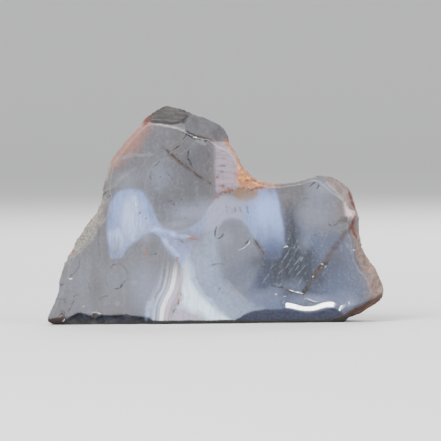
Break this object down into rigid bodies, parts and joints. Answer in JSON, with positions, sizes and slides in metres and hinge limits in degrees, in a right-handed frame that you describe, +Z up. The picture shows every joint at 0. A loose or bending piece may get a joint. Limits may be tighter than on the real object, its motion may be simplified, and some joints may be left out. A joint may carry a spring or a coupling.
{
  "type": "agate slice",
  "caption": "Thick agate slab with a polished face and a broken rim, standing on a straight sawn edge.",
  "frame": {"origin": "on the surface the slab stands on, under the middle of its box", "axes": "+X along the sawn edge to the right as the polished face is seen, +Y from the polished face to the sawn back, +Z up to the summit"},
  "size_m": [0.0845, 0.014, 0.0546],
  "materials": {
    "agate": "grey agate with milky blue-white bands and rust stains, polished face, sawn back, broken rim"
  },
  "bodies": {
    "root": {"agate_slice": "agate"}
  },
  "joints": []
}
